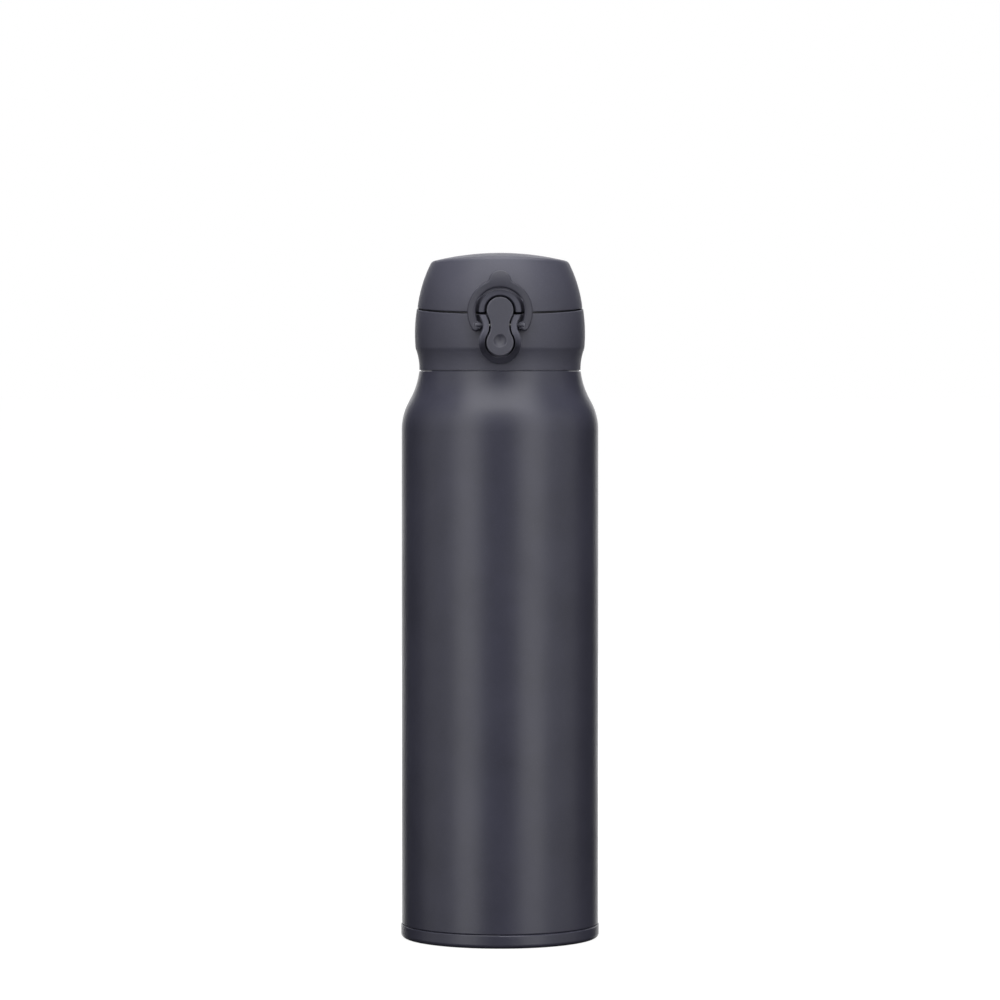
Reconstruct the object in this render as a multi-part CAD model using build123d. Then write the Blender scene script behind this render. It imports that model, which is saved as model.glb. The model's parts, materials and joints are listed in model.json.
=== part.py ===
from build123d import *
import os
from math import asin, atan2, cos, degrees, hypot, radians, sin, sqrt, tan

# One-touch vacuum flask. Millimetres, +Z up, the latch faces -Y, the origin is on the
# axis of the bottle at the plane it stands on.

# ---- bottle ---------------------------------------------------------------
BARREL_R = 37.3            # painted barrel, outside
STEEL = 0.4                # outer wall
BARREL_TOP = 193.1         # where the shoulder starts
SHOULDER_R = 21.7          # convex arc of the shoulder
SHOULDER_TURN = 30.0       # degrees it turns through
NECKING_R = 29.8           # concave arc that follows it
SHOULDER_TOP = 215.2
NECK_R = 25.5              # threaded neck, outside
MOUTH_Z = 230.0            # rim of the bottle
MOUTH_R = 22.4             # clear radius of the mouth
VESSEL_R = 34.0            # inside of the liner
VESSEL_WALL = 0.3
VESSEL_FLOOR = 8.0
FOIL = 0.08
TUCK_R = 36.4              # barrel where the base cap covers it

# ---- base cap -------------------------------------------------------------
BASE_R = 37.6
BASE_TOP = 5.1
BASE_CORNER = 1.6
FOOT_IN_R = 30.0           # inner edge of the ring it stands on
BASE_FLOOR = (0.8, 1.8)

# ---- thread ---------------------------------------------------------------
PITCH = 4.0
TURNS = 1.5
NECK_CREST_R = 26.7
CAP_ROOT_R = 27.0
CAP_CREST_R = 25.9
NECK_THREAD_Z = 220.0
CAP_THREAD_Z = 218.4

# ---- cap body -------------------------------------------------------------
CAP_BOTTOM = 215.6
CAP_LIP_Z = 215.25                 # lip inside the skirt, just off the shoulder
CREASE_Z = 223.8
SKIRT = (216.16, 30.575, 20.8)     # height, radius and sweep of the waist
BULGE = (229.28, 32.284, 60.4)     # the same for the belly above the crease
PARTING_Z = 239.0                  # split line on the axis
PARTING_TILT = 4.4                 # the cap's rim rises towards the hinge
LID_TILT = 3.75                    # the lid's rim rises less, so the split widens to the front
GAP = 0.4                          # split line at the sides
RIM_IN_R = 29.6
DECK_UNDER = 233.0
DECK_DROP = 1.9                    # deck below the split line

# ---- lid ------------------------------------------------------------------
LID_SIDE = (233.33, 31.616, 50.4)
LID_WALL = 1.6
LID_TOP = 259.96
CROWN_R = (104.3, 150.0)           # top of the lid, curved across and front to back
CROWN_EDGE = 2.2                   # rounding where it meets the side
LINER_R = 29.3

# ---- spout ----------------------------------------------------------------
SPOUT_FOOT_R = 17.0
SPOUT_LIP_R = 14.5
SPOUT_TOP = 250.5
SPOUT_FLOOR = (243.4, 245.0)

# ---- latch ----------------------------------------------------------------
BUTTON_TOP = (237.75, 4.98)        # height and radius of the upper lobe
BUTTON_LOW_R = 5.05                # lower lobe
BUTTON_WAIST = 3.46                # half width between the lobes
BUTTON_FLANK_R = 7.25              # hollow of the sides
POCKET_GAP = 0.62
EAR = 2.9                          # housing outline, out from the button
CHEEK = (7.2, 40)                  # underside of the housing: radius, then its slope
POCKET_Y = -32.5
ARCH = (5.6, 7.96)                 # arch on the lid, inner and outer radius
ARCH_FRONT_R = 34.0
LATCH_PIVOT = (-34.2, 232.2)       # y, z of the shared button and ring axis
RING_Z = 237.2
RING_R = (9.02, 12.2)
RING_TAB = (248.5, 4.2)            # height and radius of the thumb tab
RING_TAB_FILLET = 2.2
RING_BACK_R = 33.3
RING_FRONT_R = 35.7
RING_NOSE = (247.0, 12.3)          # height where the front starts to curve back, its radius

# ---- lid hinge ------------------------------------------------------------
HINGE = (30.2, 241.2)              # y, z
KNUCKLE_R = 3.2
PIN_R = 1.0


# ---- helpers --------------------------------------------------------------
def outline(*steps):
    """Closed face from 2-D points; a step of two points is an arc through the first."""
    edges, at = [], steps[0]
    for step in steps[1:] + (steps[0],):
        if isinstance(step[0], tuple):
            edges.append(ThreePointArc(at, *step))
            step = step[1]
        elif hypot(step[0] - at[0], step[1] - at[1]) > 1e-6:
            edges.append(Line(at, step))
        at = step
    return make_face(edges)


def turned(*steps):
    """Body of revolution about Z from (radius, height) steps."""
    return revolve(Plane.XZ * outline(*steps), Axis.Z)


def from_front(face, y_back, y_front):
    """Extrude an (x, z) face along Y."""
    return extrude(Plane.XZ.offset(-y_back) * face, amount=y_back - y_front)


def from_side(face, x_0, x_1):
    """Extrude a (y, z) face along X."""
    return extrude(Plane.YZ.offset(x_0) * face, amount=x_1 - x_0)


def both_sides(solid):
    return solid + mirror(solid, Plane.YZ)


def disc(radius, z_0, z_1):
    return Pos(0, 0, (z_0 + z_1) / 2) * Cylinder(radius, z_1 - z_0)


def cross_rod(radius, x_0, x_1, y, z):
    """Cylinder along X."""
    return Pos((x_0 + x_1) / 2, y, z) * Rot(0, 90, 0) * Cylinder(radius, x_1 - x_0)


def block(x, y, z):
    """Box from three (low, high) pairs."""
    size = [b - a for a, b in (x, y, z)]
    return Pos(*[(a + b) / 2 for a, b in (x, y, z)]) * Box(*size)


def beyond_split(shift, up, tilt=PARTING_TILT):
    """Half space above or below the tilted split line, moved up by shift."""
    side = Align.MIN if up else Align.MAX
    half = Box(160, 160, 120, align=(Align.CENTER, Align.CENTER, side))
    return Pos(0, 0, PARTING_Z + shift) * Rot(tilt, 0, 0) * half


def polar(centre, radius, degrees):
    return (centre[0] + radius * cos(radians(degrees)),
            centre[1] + radius * sin(radians(degrees)))


def belly(curve, z, wall=0.0):
    """Radius at z of an outward arc given as (mid height, largest radius, sweep)."""
    mid, largest, sweep_r = curve
    return largest - sweep_r + sqrt((sweep_r - wall) ** 2 - (z - mid) ** 2)


def waist(curve, z):
    mid, least, sweep_r = curve
    return least + sweep_r - sqrt(sweep_r ** 2 - (z - mid) ** 2)


def on_line(a, b, distance):
    """Point at a distance from a towards b."""
    t = distance / hypot(b[0] - a[0], b[1] - a[1])
    return (a[0] + t * (b[0] - a[0]), a[1] + t * (b[1] - a[1]))


def thread(root_r, crest_r, z_start, root_half, crest_half):
    """Right-handed ridge; its root is sunk 0.2 into the wall."""
    sunk = root_r + (0.2 if crest_r < root_r else -0.2)
    ridge = Polyline((sunk, z_start - root_half), (root_r, z_start - root_half),
                     (crest_r, z_start - crest_half), (crest_r, z_start + crest_half),
                     (root_r, z_start + root_half), (sunk, z_start + root_half), close=True)
    path = Helix(PITCH, PITCH * TURNS, root_r, center=(0, 0, z_start))
    return Rot(0, 0, 90) * sweep(Plane.XZ * make_face(ridge), path=path, is_frenet=True)


def coil(wire_r, mean_r, pitch, height):
    """Helical wire along +Z from the origin."""
    path = Helix(pitch, height, mean_r)
    return sweep(Plane(path @ 0, z_dir=path % 0) * Circle(wire_r), path=path, is_frenet=True)


# ---- outer shell ----------------------------------------------------------
ARC_A = (BARREL_R - SHOULDER_R, BARREL_TOP)
ARC_B = polar(ARC_A, SHOULDER_R + NECKING_R, SHOULDER_TURN)


def shoulder(depth, z_end):
    """Steps up both arcs of the shoulder, a given depth under its outer surface."""
    r_a, r_b = SHOULDER_R - depth, NECKING_R + depth
    start = SHOULDER_TURN - 180
    stop = -180 - degrees(asin((z_end - ARC_B[1]) / r_b))
    return [(ARC_A[0] + r_a, ARC_A[1]),
            (polar(ARC_A, r_a, SHOULDER_TURN / 2), polar(ARC_A, r_a, SHOULDER_TURN)),
            (polar(ARC_B, r_b, (start + stop) / 2), polar(ARC_B, r_b, stop))]


outside = shoulder(0, SHOULDER_TOP - 0.4)
inside = shoulder(STEEL, SHOULDER_TOP - 0.9)
edge_r = outside[-1][1][0]
neck_bore = NECK_R - STEEL
inner_up = [(TUCK_R - STEEL, 2.2), (TUCK_R - STEEL, 5.4), (BARREL_R - STEEL, 6.2)]
inner_top = [((edge_r - 0.5, SHOULDER_TOP - 0.5), (edge_r - 0.9, SHOULDER_TOP - STEEL)),
             (neck_bore + 0.4, SHOULDER_TOP - STEEL),
             ((neck_bore + 0.1, SHOULDER_TOP - 0.3), (neck_bore, SHOULDER_TOP)),
             (neck_bore, MOUTH_Z - STEEL)]
outer_down = [(NECK_R, MOUTH_Z - STEEL), (NECK_R, SHOULDER_TOP + 0.6),
              ((NECK_R + 0.18, SHOULDER_TOP + 0.18), (NECK_R + 0.6, SHOULDER_TOP)),
              (edge_r - 0.4, SHOULDER_TOP),
              ((edge_r - 0.1, SHOULDER_TOP - 0.1), (edge_r, SHOULDER_TOP - 0.4))]
arc_down = [(outside[2][0], outside[1][1]), (outside[1][0], outside[0])]
foot = [(BARREL_R, 5.7), ((BARREL_R - 0.13, 5.35), (BARREL_R - 0.5, 5.2)), (TUCK_R, 5.2)]
outer_shell = turned((TUCK_R, 2.2), *inner_up, *inside, *inner_top,
                     *outer_down, *arc_down, *foot)
outer_shell += thread(NECK_R, NECK_CREST_R, NECK_THREAD_Z, 0.95, 0.35)

# ---- liner ----------------------------------------------------------------
LINER_DEPTH = BARREL_R - VESSEL_R
ARC_TOP_R = 4.0                    # rounded top of the liner's shoulder
CROWN_Z = 212.9
b_reach = NECKING_R + LINER_DEPTH + ARC_TOP_R
ARC_C = (ARC_B[0] - sqrt(b_reach ** 2 - (ARC_B[1] - CROWN_Z + ARC_TOP_R) ** 2),
         CROWN_Z - ARC_TOP_R)
NECK_BEND = 1.5


def liner_line(wall):
    """Steps from the middle of the floor to the mouth, a given wall outside the bore."""
    bend = NECK_BEND - wall
    centre = (MOUTH_R + NECK_BEND, CROWN_Z + NECK_BEND)
    join = on_line(ARC_C, ARC_B, ARC_TOP_R + wall)
    up = shoulder(LINER_DEPTH - wall, join[1])
    return [(0, VESSEL_FLOOR - wall), (VESSEL_R - 7, VESSEL_FLOOR - wall),
            (polar((VESSEL_R - 7, VESSEL_FLOOR + 7), 7 + wall, -45),
             (VESSEL_R + wall, VESSEL_FLOOR + 7)),
            *up,
            (polar(ARC_C, ARC_TOP_R + wall, 55), (ARC_C[0], CROWN_Z + wall)),
            (centre[0], CROWN_Z + wall),
            (polar(centre, bend, 225), (MOUTH_R + wall, centre[1]))]


def reverse(steps):
    """The same steps walked the other way."""
    ends = [s[1] if isinstance(s[0], tuple) else s for s in steps]
    back = [ends[-1]]
    for i in range(len(steps) - 1, 0, -1):
        is_arc = isinstance(steps[i][0], tuple)
        back.append((steps[i][0], ends[i - 1]) if is_arc else ends[i - 1])
    return back


rim = [(MOUTH_R, MOUTH_Z - 0.3), ((MOUTH_R + 0.09, MOUTH_Z - 0.09), (MOUTH_R + 0.3, MOUTH_Z)),
       (NECK_R - 0.2, MOUTH_Z), ((NECK_R - 0.06, MOUTH_Z - 0.06), (NECK_R, MOUTH_Z - 0.2)),
       (NECK_R, MOUTH_Z - STEEL), (MOUTH_R + VESSEL_WALL, MOUTH_Z - STEEL)]
inner_vessel = turned(*liner_line(0), *rim, *reverse(liner_line(VESSEL_WALL)))

foil_in = VESSEL_R + VESSEL_WALL
copper_foil = disc(foil_in + FOIL, 16, 190) - disc(foil_in, 15, 191)

# ---- closed base, vacuum side ---------------------------------------------
PLATE = (2.5, 3.0)
BASE_IN_R = TUCK_R - STEEL
outer_base = turned((0.8, PLATE[0]), (BASE_IN_R - 1.0, PLATE[0]),
                    ((BASE_IN_R - 0.3, PLATE[0] + 0.3), (BASE_IN_R, PLATE[0] + 1.0)),
                    (BASE_IN_R, 5.0), (BASE_IN_R - 0.5, 5.0),
                    (BASE_IN_R - 0.5, PLATE[1] + 0.7),
                    ((BASE_IN_R - 0.7, PLATE[1] + 0.2), (BASE_IN_R - 1.2, PLATE[1])),
                    (0.8, PLATE[1]))
vacuum_plug = turned((0, 1.95), (1.6, 2.0), (2.6, 2.2), (3.0, PLATE[0]), (0.8, PLATE[0]),
                     (0.8, PLATE[1]), (0.6, 3.2), (0, 3.25))
GETTER = (15.0, 8.0)               # x, y
getter_clip = Pos(*GETTER, 0) * turned((0, 3.0), (4.9, 3.0), (4.9, 5.2), (4.5, 5.2),
                                       (4.5, 3.4), (0, 3.4))
getter_pellet = Pos(*GETTER, 0) * turned((0, 3.4), (4.5, 3.4), (4.5, 4.7),
                                         ((4.35, 5.0), (4.0, 5.1)), (0, 5.1))

# ---- base cap -------------------------------------------------------------
corner = BASE_R - BASE_CORNER
base_cap = turned((0, BASE_FLOOR[0]), (FOOT_IN_R - 1, BASE_FLOOR[0]),
                  ((FOOT_IN_R - 0.55, 0.55), (FOOT_IN_R, 0)), (corner, 0),
                  (polar((corner, BASE_CORNER), BASE_CORNER, -45), (BASE_R, BASE_CORNER)),
                  (BASE_R, BASE_TOP - 0.4),
                  ((BASE_R - 0.1, BASE_TOP - 0.1), (BASE_R - 0.4, BASE_TOP)),
                  (TUCK_R, BASE_TOP), (TUCK_R, BASE_FLOOR[1] + 0.4),
                  (TUCK_R - 0.5, BASE_FLOOR[1]), (0, BASE_FLOOR[1]))
base_disc = turned((0, 0.4), (24.2, 0.4), ((24.42, 0.48), (24.5, 0.7)), (24.5, 0.8), (0, 0.8))

# ---- spout and its gasket -------------------------------------------------
GASKET_Z = (MOUTH_Z, 231.2)
SKIRT_R = (18.7, 20.2)
lip = SPOUT_LIP_R - 0.1
mouthpiece = turned((SKIRT_R[0], 222), (SKIRT_R[1], 222), (SKIRT_R[1], GASKET_Z[1]),
                    (24.8, GASKET_Z[1]), (24.8, DECK_UNDER), (SPOUT_FOOT_R, DECK_UNDER),
                    (SPOUT_LIP_R, 249), ((lip - 0.15, 250.2), (lip - 0.9, SPOUT_TOP)),
                    ((13.1, 250.35), (12.9, 249.7)), (12.6, 246),
                    ((12.3, 245.3), (11.6, SPOUT_FLOOR[1])), (0, SPOUT_FLOOR[1]),
                    (0, SPOUT_FLOOR[0]), (12.4, SPOUT_FLOOR[0]),
                    ((13.1, 243.2), (13.5, 242.5)), (15.4, 233), (SKIRT_R[0], 229.5))
drink_hole = Pos(0, -5.2) * RectangleRounded(9.0, 6.4, 2.4)
mouthpiece -= Pos(0, 0, 240) * extrude(drink_hole, amount=8)
mouthpiece -= Pos(0, 6.6, 244) * Cylinder(1.4, 8)

mouthpiece_gasket = turned((SKIRT_R[1], 223.4), (21.2, 223.4), ((21.9, 223.8), (22.25, 224.6)),
                           ((22.1, 225.4), (21.8, 226.2)), (21.8, MOUTH_Z), (24.8, MOUTH_Z),
                           ((25.3, 230.6), (24.8, GASKET_Z[1])), (SKIRT_R[1], GASKET_Z[1]))

# ---- cap body -------------------------------------------------------------
crease_r = waist(SKIRT, CREASE_Z)
cap_mid = (CREASE_Z + 243) / 2
skirt_r = waist(SKIRT, CAP_BOTTOM)
cap_body = turned((0, CAP_LIP_Z), (skirt_r - 0.6, CAP_LIP_Z), (skirt_r - 0.6, CAP_BOTTOM),
                  (skirt_r - 0.12, CAP_BOTTOM),
                  ((skirt_r - 0.035, CAP_BOTTOM + 0.035), (skirt_r, CAP_BOTTOM + 0.12)),
                  ((waist(SKIRT, 220.4), 220.4), (crease_r, CREASE_Z)),
                  ((belly(BULGE, cap_mid), cap_mid), (belly(BULGE, 243), 243)), (0, 243))
crease = cap_body.edges().filter_by(GeomType.CIRCLE).filter_by_position(
    Axis.Z, CREASE_Z - 0.1, CREASE_Z + 0.1)
cap_body = fillet(crease, 3.0)
cap_body -= beyond_split(-GAP / 2, up=True)
top_face = cap_body.faces().sort_by(Axis.Z)[-1]
cap_body = fillet(top_face.edges(), 0.35)


def lobes(grow):
    """Hourglass outline of the button, offset by grow."""
    z_t, r_t = BUTTON_TOP
    side = BUTTON_WAIST + BUTTON_FLANK_R
    z_s = z_t - sqrt((r_t + BUTTON_FLANK_R) ** 2 - side ** 2)
    z_b = z_s - sqrt((BUTTON_LOW_R + BUTTON_FLANK_R) ** 2 - side ** 2)
    t = on_line((0, z_t), (side, z_s), r_t + grow)
    b = on_line((0, z_b), (side, z_s), BUTTON_LOW_R + grow)
    hollow = side - BUTTON_FLANK_R + grow
    return outline((-t[0], t[1]), ((0, z_t + r_t + grow), t), ((hollow, z_s), b),
                   ((0, z_b - BUTTON_LOW_R - grow), (-b[0], b[1])),
                   ((-hollow, z_s), (-t[0], t[1])))


housing = from_front(lobes(EAR), -29.8, -42)
lean = degrees(atan2(3.7, 15.0))
cheek = (-37.58, 230.0)           # where the cheeks start to curve back under the button
cheek_r, slope = CHEEK
under = polar(cheek, cheek_r, -lean)
bend = polar(under, cheek_r, 180 + slope)
toe_z = bend[1] - (-29.8 - bend[0]) / tan(radians(slope))
housing &= from_side(outline((-29.8, toe_z), bend,
                             (polar(under, cheek_r, 180 + (slope - lean) / 2), cheek),
                             (-35.9, 236.8), (-29.8, 236.8)), -9, 9)
housing -= beyond_split(-GAP / 2, up=True)
rim_edges = housing.faces().sort_by(Axis.Y)[0].edges().sort_by(Axis.Z)[1:]
housing = fillet(rim_edges, 0.7)
cap_body += housing

# hinge block: a wedge from the wall up round the pin, three knuckles wide
h_y, h_z = HINGE
wedge = make_hull(Circle(KNUCKLE_R).locate(Location((h_y, h_z))).edges()
                  + Polyline((26.6, 236.5), (28.3, 229.5)).edges())
hinge_block = from_side(wedge, -15, 15)
ends = hinge_block.faces().sort_by(Axis.X)
cap_body += fillet(ends[0].edges() + ends[-1].edges(), 0.9)

# inside of the cap: thread bore, seat of the spout, recessed deck
cap_body -= turned((0, 210), (CAP_ROOT_R + 0.4, 210), (CAP_ROOT_R + 0.4, CAP_BOTTOM + 0.2),
                   (CAP_ROOT_R, CAP_BOTTOM + 0.6), (CAP_ROOT_R, 228.4), (25.8, 229.8),
                   (25.8, DECK_UNDER), (SPOUT_FOOT_R + 0.2, DECK_UNDER),
                   (SPOUT_FOOT_R + 0.2, 246), (0, 246))
dish = disc(RIM_IN_R, 225, 250) & beyond_split(-DECK_DROP, up=True)
knuckles = from_side(wedge, -15, -9.2) + from_side(wedge, 9.2, 15)
cap_body -= dish - knuckles
cap_body += thread(CAP_ROOT_R, CAP_CREST_R, CAP_THREAD_Z, 0.9, 0.35)
cap_body -= cross_rod(KNUCKLE_R + 0.3, -9.2, 9.2, h_y, h_z)
cap_body -= both_sides(cross_rod(KNUCKLE_R + 1.1, 4.3, 9.2, h_y, h_z))
cap_body -= cross_rod(PIN_R, -14, 14, h_y, h_z)

# pocket for the button, pin holes and blind holes for the ring
p_y, p_z = LATCH_PIVOT
cap_body -= from_front(lobes(POCKET_GAP), POCKET_Y, -45)
cap_body -= cross_rod(0.66, -5.0, 5.0, p_y, p_z)
cap_body -= both_sides(cross_rod(0.86, 5.2, 9, p_y, p_z))

# ---- lid shell ------------------------------------------------------------
def lid_form(wall):
    """Solid of the lid, a given wall inside its outer surface."""
    low, mid, high = 233.0, 247.0, 262.0
    side = turned((0, low), (belly(LID_SIDE, low, wall), low),
                  ((belly(LID_SIDE, mid, wall), mid), (belly(LID_SIDE, high, wall), high)),
                  (0, high))
    across, along = CROWN_R
    top = LID_TOP - wall
    drop = across - wall - sqrt((across - wall) ** 2 - 36 ** 2)
    arc = outline((-36, low - 6), (36, low - 6), (36, top - drop), ((0, top), (-36, top - drop)))
    axle = Axis((0, 0, LID_TOP - along), (1, 0, 0))
    return side & revolve((Plane.XZ * arc).rotate(axle, -18), axle, 36)


def arch(radius):
    z_c = BUTTON_TOP[0]
    return outline((-radius, 230), (radius, 230), (radius, z_c),
                   ((0, z_c + radius), (-radius, z_c)))


POCKET_FLOOR = -29.6
LEDGE = block((-2.6, 2.6), (-30.9, POCKET_FLOOR + 0.2), (238.0, 239.5))
lid_cavity = lid_form(LID_WALL)
lid_cavity -= block((-6.9, 6.9), (-32, POCKET_FLOOR + 1.6), (230, 245.6))
lid_shell = lid_form(0)
lid_shell = fillet(lid_shell.edges().group_by(Axis.Z)[-1], CROWN_EDGE)
lid_arch = from_front(arch(ARCH[1]) - arch(ARCH[0]), -27, -40)
lid_arch &= disc(ARCH_FRONT_R, 225, 255)
arch_front = lid_arch.faces().sort_by(Axis.Y)[0]
lid_shell += fillet(arch_front.edges().filter_by_position(Axis.Z, 236, 260), 0.5)
lid_shell -= from_front(arch(ARCH[0]), POCKET_FLOOR, -45) - LEDGE
lid_shell -= beyond_split(GAP / 2, False, LID_TILT)
lower_face = lid_shell.faces().filter_by(GeomType.PLANE).sort_by(SortBy.AREA)[-1]
lid_shell = fillet(lower_face.outer_wire().edges(), 0.28)
lid_shell -= lid_cavity

arm = make_hull(Circle(KNUCKLE_R).locate(Location((h_y, h_z))).edges()
                + Polyline((28.6, 251.0), (27.2, 251.0)).edges())
arm = from_side(arm, 4.5, 9.0)
arm_sides = arm.faces().sort_by(Axis.X)
lid_shell += both_sides(fillet(arm_sides[0].edges() + arm_sides[-1].edges(), 0.45))
lid_shell -= both_sides(cross_rod(KNUCKLE_R + 0.3, 9.1, 15.3, h_y, h_z))
lid_shell -= cross_rod(KNUCKLE_R + 0.3, -4.5, 4.5, h_y, h_z)
lid_shell -= cross_rod(PIN_R + 0.06, -15, 15, h_y, h_z)

# ---- inner lid and its stopper --------------------------------------------
STOPPER_R = 9.8
HUB_R = 6.5
lid_inner = disc(LINER_R, 230, 245) - (disc(LINER_R - 1.2, 228, 250)
                                       & beyond_split(-0.3, up=True))
lid_inner += turned((0, 230), (18.2, 230), (18.2, 240), (17.2, 252.4),
                    ((16.9, 253.3), (16.0, 253.6)), (0, 253.6))
lid_inner -= turned((0, 229), (17.0, 229), (17.0, 239), (16.0, 251.4),
                    ((15.7, 252.1), (15.0, 252.4)), (0, 252.4))
lid_inner += disc(HUB_R, 246.4, 252.6) - disc(HUB_R - 1.3, 247.6, 253)
lid_inner -= disc(HUB_R - 1.3, 247.6, 255)
lid_inner -= beyond_split(-1.5, up=False)
lid_inner &= lid_cavity
lid_inner -= block((-15.4, 15.4), (26.3, 40), (230, 250))
lid_inner -= block((-7.3, 7.3), (-40, -27.7), (230, 246))
lid_gasket = turned((0, 245.05), (STOPPER_R - 0.5, 245.05),
                    ((STOPPER_R - 0.1, 245.2), (STOPPER_R, 245.6)), (STOPPER_R, 246.4),
                    (8.4, 247.2), (8.4, 249.6), (HUB_R, 249.6), (HUB_R, 246.4), (0, 246.4))

# ---- lid hinge ------------------------------------------------------------
hinge_pin = cross_rod(PIN_R, -14, 14, h_y, h_z)
lid_spring = Pos(-3.2, h_y, h_z) * Rot(0, 90, 0) * coil(0.3, 1.9, 0.8, 6.4)

# ---- button ---------------------------------------------------------------
open_button = from_front(lobes(0), -31, -44)
open_button &= from_side(outline((-35.35, 243.7), (-41.3, 220.0), (-38.2, 219.2),
                                 (-32.45, 243.0)), -6, 6)
button_face = open_button.faces().sort_by(Axis.Y)[0]
open_button = fillet(button_face.edges(), 0.45)
open_button -= Pos(0, -42.19, 227.13) * Sphere(3.6)
dimple = open_button.edges().filter_by(GeomType.CIRCLE).sort_by_distance((0, -39.67, 226.5))
open_button = fillet(dimple[0], 0.4)
web = make_hull(Circle(1.35).locate(Location((p_y, p_z))).edges()
                + Polyline((-36.2, 229.5), (-35.2, 235.0)).edges())
open_button += from_side(web, -3.2, 3.2) & from_front(lobes(0), -31, -44)
open_button += from_side(outline((-34.0, 239.6), (-31.2, 240.0), (-31.2, 240.7),
                                 (-32.3, 241.8), (-34.0, 241.8)), -2.2, 2.2)
SPRING_Z = 226.0
open_button += Pos(0, -37.2, SPRING_Z) * Rot(90, 0, 0) * Cylinder(2.2, 2.4)
open_button += Pos(0, -35.6, SPRING_Z) * Rot(90, 0, 0) * Cylinder(0.9, 1.4)
open_button -= cross_rod(0.72, -6, 6, p_y, p_z)
button_pin = cross_rod(0.65, -4.9, 4.9, p_y, p_z)
button_spring = Pos(0, POCKET_Y - 0.21, SPRING_Z) * Rot(90, 0, 0) * coil(0.2, 1.5, 0.9, 3.08)

# ---- lock ring ------------------------------------------------------------
r_in, r_out = RING_R
r_mid, leg = (r_in + r_out) / 2, (r_out - r_in) / 2
z_tab, r_tab = RING_TAB
rise = z_tab - RING_Z
f_in = r_out + RING_TAB_FILLET
f_up = (rise ** 2 + f_in ** 2 - (r_tab + RING_TAB_FILLET) ** 2) / (2 * rise)
f_c = (sqrt(f_in ** 2 - f_up ** 2), RING_Z + f_up)
on_ring = on_line((0, RING_Z), f_c, r_out)
on_tab = on_line((0, z_tab), f_c, r_tab)
blend = on_line(f_c, ((on_ring[0] + on_tab[0]) / 2, (on_ring[1] + on_tab[1]) / 2),
                RING_TAB_FILLET)
END = degrees(asin((231.6 - RING_Z) / r_mid))
o_end, i_end = polar((0, RING_Z), r_out, END), polar((0, RING_Z), r_in, END)
m_end = polar((0, RING_Z), r_mid, END)
toe = (m_end[0] + leg * sin(radians(END)), m_end[1] - leg * cos(radians(END)))


def flip(point):
    return (-point[0], point[1])


horseshoe = outline(
    o_end, ((r_out, RING_Z), on_ring), (blend, on_tab),
    ((0, z_tab + r_tab), flip(on_tab)), (flip(blend), flip(on_ring)),
    ((-r_out, RING_Z), flip(o_end)), (flip(toe), flip(i_end)),
    ((0, RING_Z + r_in), i_end), (toe, o_end))
nose_z, nose_r = RING_NOSE
nose = (RING_FRONT_R - nose_r, nose_z)
band = turned((RING_BACK_R, 226), (RING_FRONT_R, 226), (RING_FRONT_R, nose_z),
              (polar(nose, nose_r, 14), polar(nose, nose_r, 28)),
              (32.4, 254), (RING_BACK_R, 245.5))
lock_ring = from_front(horseshoe, -25, -42) & band
edges = [e for f in lock_ring.faces().sort_by(Axis.Y)[:2] for e in f.edges()
         if abs(e.center().Z - nose_z) > 0.1]
lock_ring = fillet(edges, 0.8)
# relief behind the ring, along the path the arch takes when the lid swings up
arch_path = cross_rod(h_y + ARCH_FRONT_R + 0.4, -8.4, 8.4, h_y, h_z)
lock_ring -= arch_path & block((-9, 9), (-40, -25), (239, 256))
lug = Pos(8.5, p_z) * RectangleRounded(2.8, 2.7, 0.9)
lock_ring += both_sides(from_front(lug, -33.2, -34.4))
lock_ring += both_sides(cross_rod(0.8, 5.3, 9, p_y, p_z))

# ---- export ---------------------------------------------------------------
PARTS = dict(outer_shell=outer_shell, inner_vessel=inner_vessel, copper_foil=copper_foil,
             getter_pellet=getter_pellet, getter_clip=getter_clip, outer_base=outer_base,
             vacuum_plug=vacuum_plug, base_cap=base_cap, base_disc=base_disc,
             mouthpiece_gasket=mouthpiece_gasket, cap_body=cap_body, mouthpiece=mouthpiece,
             hinge_pin=hinge_pin, lid_spring=lid_spring, button_spring=button_spring,
             button_pin=button_pin, lid_shell=lid_shell, lid_inner=lid_inner,
             lid_gasket=lid_gasket, lock_ring=lock_ring, open_button=open_button)
os.makedirs("parts", exist_ok=True)
for name, shape in PARTS.items():
    export_step(shape, f"parts/{name}.step")
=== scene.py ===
"""Vacuum flask with a one-touch flip lid, dressed for a plain studio shot.

Metres, +Z up, the latch faces -Y.
"""
import json
import math

import bpy
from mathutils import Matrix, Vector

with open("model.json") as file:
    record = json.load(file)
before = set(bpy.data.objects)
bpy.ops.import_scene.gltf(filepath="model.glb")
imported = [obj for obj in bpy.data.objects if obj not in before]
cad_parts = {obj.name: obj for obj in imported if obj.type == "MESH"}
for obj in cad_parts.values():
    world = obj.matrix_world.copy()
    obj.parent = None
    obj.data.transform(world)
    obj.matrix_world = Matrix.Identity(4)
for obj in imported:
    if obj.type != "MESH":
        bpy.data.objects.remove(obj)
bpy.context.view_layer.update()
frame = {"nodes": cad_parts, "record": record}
NODES = frame["nodes"]
SCENE = bpy.context.scene
MM = 0.001


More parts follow.
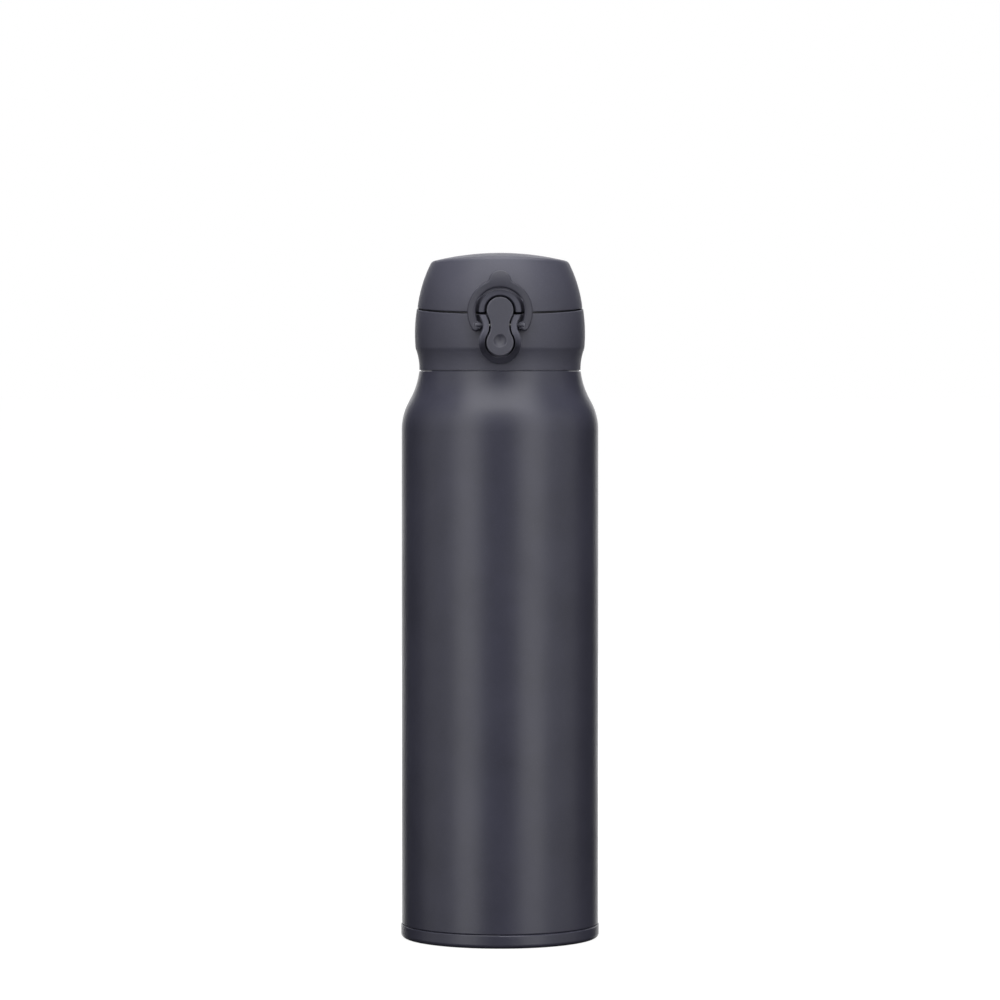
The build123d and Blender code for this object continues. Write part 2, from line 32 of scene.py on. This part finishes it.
# ---- materials --------------------------------------------------------------
class Graph:
    """Small helper that adds and wires shader nodes."""

    def __init__(self, name):
        self.mat = bpy.data.materials.new(name)
        self.mat.use_nodes = True
        self.tree = self.mat.node_tree
        self.tree.nodes.clear()
        self.out = self.add("ShaderNodeOutputMaterial")
        self.bsdf = self.add("ShaderNodeBsdfPrincipled")
        self.wire(self.bsdf.outputs[0], self.out.inputs["Surface"])
        self.coord = self.add("ShaderNodeTexCoord").outputs["Object"]

    def add(self, kind, **settings):
        node = self.tree.nodes.new(kind)
        for key, value in settings.items():
            setattr(node, key, value)
        return node

    def wire(self, a, b):
        self.tree.links.new(a, b)

    def stretch(self, scale):
        node = self.add("ShaderNodeMapping")
        node.inputs["Scale"].default_value = scale
        self.wire(self.coord, node.inputs["Vector"])
        return node.outputs[0]

    def noise(self, scale, detail=3.0, rough=0.55, vector=None):
        node = self.add("ShaderNodeTexNoise")
        node.inputs["Scale"].default_value = scale
        node.inputs["Detail"].default_value = detail
        node.inputs["Roughness"].default_value = rough
        self.wire(vector or self.coord, node.inputs["Vector"])
        return node.outputs[0]

    def remap(self, value, low, high, start=0.35, stop=0.65):
        node = self.add("ShaderNodeMapRange")
        for i, v in zip((1, 2, 3, 4), (start, stop, low, high)):
            node.inputs[i].default_value = v
        self.wire(value, node.inputs[0])
        return node.outputs[0]

    def math(self, operation, a, b):
        node = self.add("ShaderNodeMath", operation=operation)
        for slot, v in enumerate((a, b)):
            if isinstance(v, (int, float)):
                node.inputs[slot].default_value = v
            else:
                self.wire(v, node.inputs[slot])
        return node.outputs[0]

    def mix(self, factor, a, b):
        node = self.add("ShaderNodeMix", data_type="RGBA")
        self.wire(factor, node.inputs["Factor"])
        for key, v in (("A", a), ("B", b)):
            socket = [s for s in node.inputs if s.name == key and s.type == "RGBA"][0]
            if isinstance(v, tuple):
                socket.default_value = (*v, 1)
            else:
                self.wire(v, socket)
        return [s for s in node.outputs if s.type == "RGBA"][0]

    def edges(self, radius):
        """1 on edges tighter than radius, 0 on flats."""
        bevel = self.add("ShaderNodeBevel", samples=4)
        bevel.inputs["Radius"].default_value = radius
        here = self.add("ShaderNodeNewGeometry").outputs["Normal"]
        dot = self.add("ShaderNodeVectorMath", operation="DOT_PRODUCT")
        self.wire(bevel.outputs[0], dot.inputs[0])
        self.wire(here, dot.inputs[1])
        return self.remap(dot.outputs["Value"], 1.0, 0.0, 0.88, 0.995)

    def bump(self, height, distance, strength=1.0, under=None):
        node = self.add("ShaderNodeBump")
        node.inputs["Strength"].default_value = strength
        node.inputs["Distance"].default_value = distance
        self.wire(height, node.inputs["Height"])
        if under is not None:
            self.wire(under, node.inputs["Normal"])
        return node.outputs[0]


def coated(name, colour, rough, grain_mm, grain_depth, edge_highlight, spread=0.10, edge_mm=0.35, gloss=0.5):
    """Powder coat or moulded plastic: mottled tint, two sizes of grain, and a painted highlight that
    lightens the edges, which are also a little smoother.
    """
    g = Graph(name)
    dark = tuple(c * (1 - spread) for c in colour)
    light = tuple(c * (1 + spread) for c in colour)
    mottle = g.remap(g.noise(38, 4.0), 0.0, 1.0)
    base = g.mix(mottle, dark, light)
    speck = g.remap(g.noise(1400, 2.0), 0.0, 0.35, 0.56, 0.75)
    base = g.mix(speck, base, tuple(c * 1.35 for c in colour))
    # painted highlight: edges tighter than edge_mm are mixed toward a lighter colour that stands in
    # for light catching them; the same mask lowers their roughness
    edge = g.math("MULTIPLY", g.edges(edge_mm * MM), g.remap(g.noise(260, 3.0), 0.35, 1.0))
    base = g.mix(edge, base, edge_highlight)
    g.wire(base, g.bsdf.inputs["Base Color"])
    smear = g.remap(g.noise(24, 5.0, 0.6), rough - 0.035, rough + 0.04, 0.3, 0.7)
    g.wire(g.math("SUBTRACT", smear, g.math("MULTIPLY", edge, 0.10)), g.bsdf.inputs["Roughness"])
    coarse = g.bump(g.noise(1 / (grain_mm * MM), 3.0, 0.6), grain_depth * MM)
    fine = g.bump(g.noise(3.3 / (grain_mm * MM), 2.0), grain_depth * MM / 2.6, 0.7, coarse)
    g.wire(fine, g.bsdf.inputs["Normal"])
    g.bsdf.inputs["Specular IOR Level"].default_value = gloss
    return g.mat


def metal(name, colour, rough, stretch, depth=0.004):
    """Bare metal with drawn or turned lines along one axis."""
    g = Graph(name)
    lines = g.noise(900, 4.0, 0.6, g.stretch(stretch))
    tone = g.remap(lines, 0.0, 1.0, 0.3, 0.7)
    base = g.mix(tone, tuple(c * 0.86 for c in colour), tuple(min(1, c * 1.1) for c in colour))
    stain = g.remap(g.noise(60, 5.0), 0.0, 0.25, 0.55, 0.8)
    base = g.mix(stain, base, tuple(c * 0.6 for c in colour))
    g.wire(base, g.bsdf.inputs["Base Color"])
    g.bsdf.inputs["Metallic"].default_value = 1.0
    g.wire(g.remap(lines, rough - 0.05, rough + 0.08, 0.3, 0.7), g.bsdf.inputs["Roughness"])
    g.wire(g.bump(lines, depth * MM), g.bsdf.inputs["Normal"])
    return g.mat


def rubber(name, colour):
    """Slightly cloudy silicone."""
    g = Graph(name)
    cloud = g.remap(g.noise(90, 4.0), 0.0, 1.0)
    g.wire(g.mix(cloud, tuple(c * 0.9 for c in colour), colour), g.bsdf.inputs["Base Color"])
    g.wire(g.remap(g.noise(160, 3.0), 0.42, 0.56), g.bsdf.inputs["Roughness"])
    g.bsdf.inputs["Subsurface Weight"].default_value = 0.15
    g.bsdf.inputs["Subsurface Scale"].default_value = 0.002
    g.wire(g.bump(g.noise(2600, 2.0), 0.000004), g.bsdf.inputs["Normal"])
    return g.mat


# base colours, linear
SLATE = (0.043, 0.043, 0.064)
PLASTIC = (0.063, 0.063, 0.087)
LATCH = (0.040, 0.040, 0.056)
# lighter colours painted onto edges as painted highlights
EDGE_HIGHLIGHT = (0.16, 0.16, 0.20)
LATCH_HIGHLIGHT = (0.26, 0.26, 0.31)
SPOUT = (0.030, 0.031, 0.036)
LOOKS = {
    # the fourth colour in each coated() call is its painted edge highlight
    "painted_body": coated("powder_coat_body", SLATE, 0.36, 0.55, 0.006, EDGE_HIGHLIGHT),
    "painted_base": coated("powder_coat_base", SLATE, 0.36, 0.55, 0.006, EDGE_HIGHLIGHT),
    "cap_plastic": coated("moulded_cap", PLASTIC, 0.48, 0.28, 0.008, EDGE_HIGHLIGHT, 0.07, gloss=0.4),
    "lid_plastic": coated("moulded_lid", PLASTIC, 0.48, 0.28, 0.008, EDGE_HIGHLIGHT, 0.07, gloss=0.4),
    "latch_plastic": coated("moulded_latch", LATCH, 0.46, 0.24, 0.006, LATCH_HIGHLIGHT, 0.07, 0.45, gloss=0.4),
    "spout_plastic": coated("moulded_spout", SPOUT, 0.38, 0.3, 0.004, (0.1, 0.1, 0.11)),
    "polished_steel": metal("electropolished_steel", (0.62, 0.61, 0.59), 0.22, (1, 1, 0.04)),
    "bright_steel": metal("turned_steel", (0.56, 0.56, 0.55), 0.28, (0.05, 1, 1)),
    "spring_steel": metal("drawn_spring_wire", (0.46, 0.46, 0.45), 0.32, (1, 1, 1)),
    "copper": metal("copper_foil", (0.80, 0.42, 0.27), 0.30, (1, 1, 0.3), 0.02),
    "getter": metal("sintered_getter", (0.20, 0.20, 0.21), 0.70, (1, 1, 1), 0.03),
    "solder": metal("dull_solder", (0.45, 0.46, 0.47), 0.55, (1, 1, 1), 0.02),
    "disc_film": coated("silver_film", (0.36, 0.37, 0.39), 0.34, 0.8, 0.002, (0.5, 0.5, 0.5), 0.05),
    "silicone": rubber("grey_silicone", (0.50, 0.50, 0.48)),
}
for row in frame["record"]["subparts"]:
    node = NODES[row["node"]]
    for slot in node.material_slots:
        slot.material = LOOKS[row["material_slot"]]

# ---- floor, light and camera ------------------------------------------------
FLOOR_HALF = 30.0
FLOOR_GLOW = (0.93, 1.0)           # emission beside the flask and further out
GLOW_REACH = (0.12, 0.55)          # distances between which it rises
ROOM = (0.03, 1.0)                 # world brightness on surfaces and to the camera

mesh = bpy.data.meshes.new("studio_floor")
mesh.from_pydata([(x * FLOOR_HALF, y * FLOOR_HALF, 0.0)
                  for x, y in ((-1, -1), (1, -1), (1, 1), (-1, 1))], [], [(0, 1, 2, 3)])
floor = bpy.data.objects.new("studio_floor", mesh)
SCENE.collection.objects.link(floor)
g = Graph("pale_floor")
tone = g.remap(g.noise(3, 2.0), 0.0, 1.0)
g.wire(g.mix(tone, (0.10, 0.10, 0.10), (0.11, 0.11, 0.11)), g.bsdf.inputs["Base Color"])
g.bsdf.inputs["Roughness"].default_value = 0.9
g.bsdf.inputs["Specular IOR Level"].default_value = 0.0
g.bsdf.inputs["Emission Color"].default_value = (1, 1, 1, 1)
reach = g.add("ShaderNodeVectorMath", operation="LENGTH")
g.wire(g.coord, reach.inputs[0])
g.wire(g.remap(reach.outputs["Value"], *FLOOR_GLOW, *GLOW_REACH), g.bsdf.inputs["Emission Strength"])
floor.data.materials.append(g.mat)
floor.visible_diffuse = False
floor.visible_glossy = False


def softbox(name, azimuth, distance, height, size, power):
    """Area light on a circle round the flask; azimuth 0 is the camera's side, + is to its right."""
    light = bpy.data.lights.new(name, "AREA")
    light.shape = "RECTANGLE"
    light.size, light.size_y = size
    light.energy = power
    obj = bpy.data.objects.new(name, light)
    a = math.radians(azimuth)
    obj.location = (distance * math.sin(a), -distance * math.cos(a), height)
    aim = Vector((0, 0, 0.15)) - obj.location
    obj.rotation_euler = aim.to_track_quat("-Z", "Y").to_euler()
    obj.visible_camera = False
    SCENE.collection.objects.link(obj)


for side in (-1, 1):
    softbox("key", side * 38, 1.3, 0.35, (0.75, 1.4), 7.1)
    softbox("side", side * 78, 1.4, 0.3, (1.1, 1.4), 2.8)
softbox("backdrop", 180, 1.6, 0.3, (1.7, 1.6), 13)
softbox("overhead", 180, 0.15, 1.4, (1.3, 1.0), 15)
softbox("front", 0, 2.2, 1.3, (1.6, 0.7), 1.2)
softbox("high", 0, 0.9, 1.45, (2.4, 0.8), 20)

# white to the camera, nearly dark to everything else, as between black flags
world = bpy.data.worlds.new("studio")
SCENE.world = world
world.use_nodes = True
tree = world.node_tree
tree.nodes.clear()
out = tree.nodes.new("ShaderNodeOutputWorld")
sky = tree.nodes.new("ShaderNodeBackground")
sky.inputs["Color"].default_value = (1, 1, 1, 1)
path = tree.nodes.new("ShaderNodeLightPath")
level = tree.nodes.new("ShaderNodeMapRange")
level.inputs["To Min"].default_value, level.inputs["To Max"].default_value = ROOM
tree.links.new(path.outputs["Is Camera Ray"], level.inputs["Value"])
tree.links.new(level.outputs[0], sky.inputs["Strength"])
tree.links.new(sky.outputs[0], out.inputs["Surface"])

CAMERA_DISTANCE = 1.650
CAMERA_HEIGHT = 0.2156
CAMERA_DOWN = 1.713                # degrees below level
camera = bpy.data.cameras.new("camera")
camera.sensor_width = 36.0
camera.lens = 156.46
camera.clip_start, camera.clip_end = 0.05, 60
cam = bpy.data.objects.new("camera", camera)
cam.location = (0.0, -CAMERA_DISTANCE, CAMERA_HEIGHT)
cam.rotation_euler = (math.radians(90 - CAMERA_DOWN), 0, 0)
SCENE.collection.objects.link(cam)
SCENE.camera = cam
SCENE.view_settings.view_transform = "Standard"
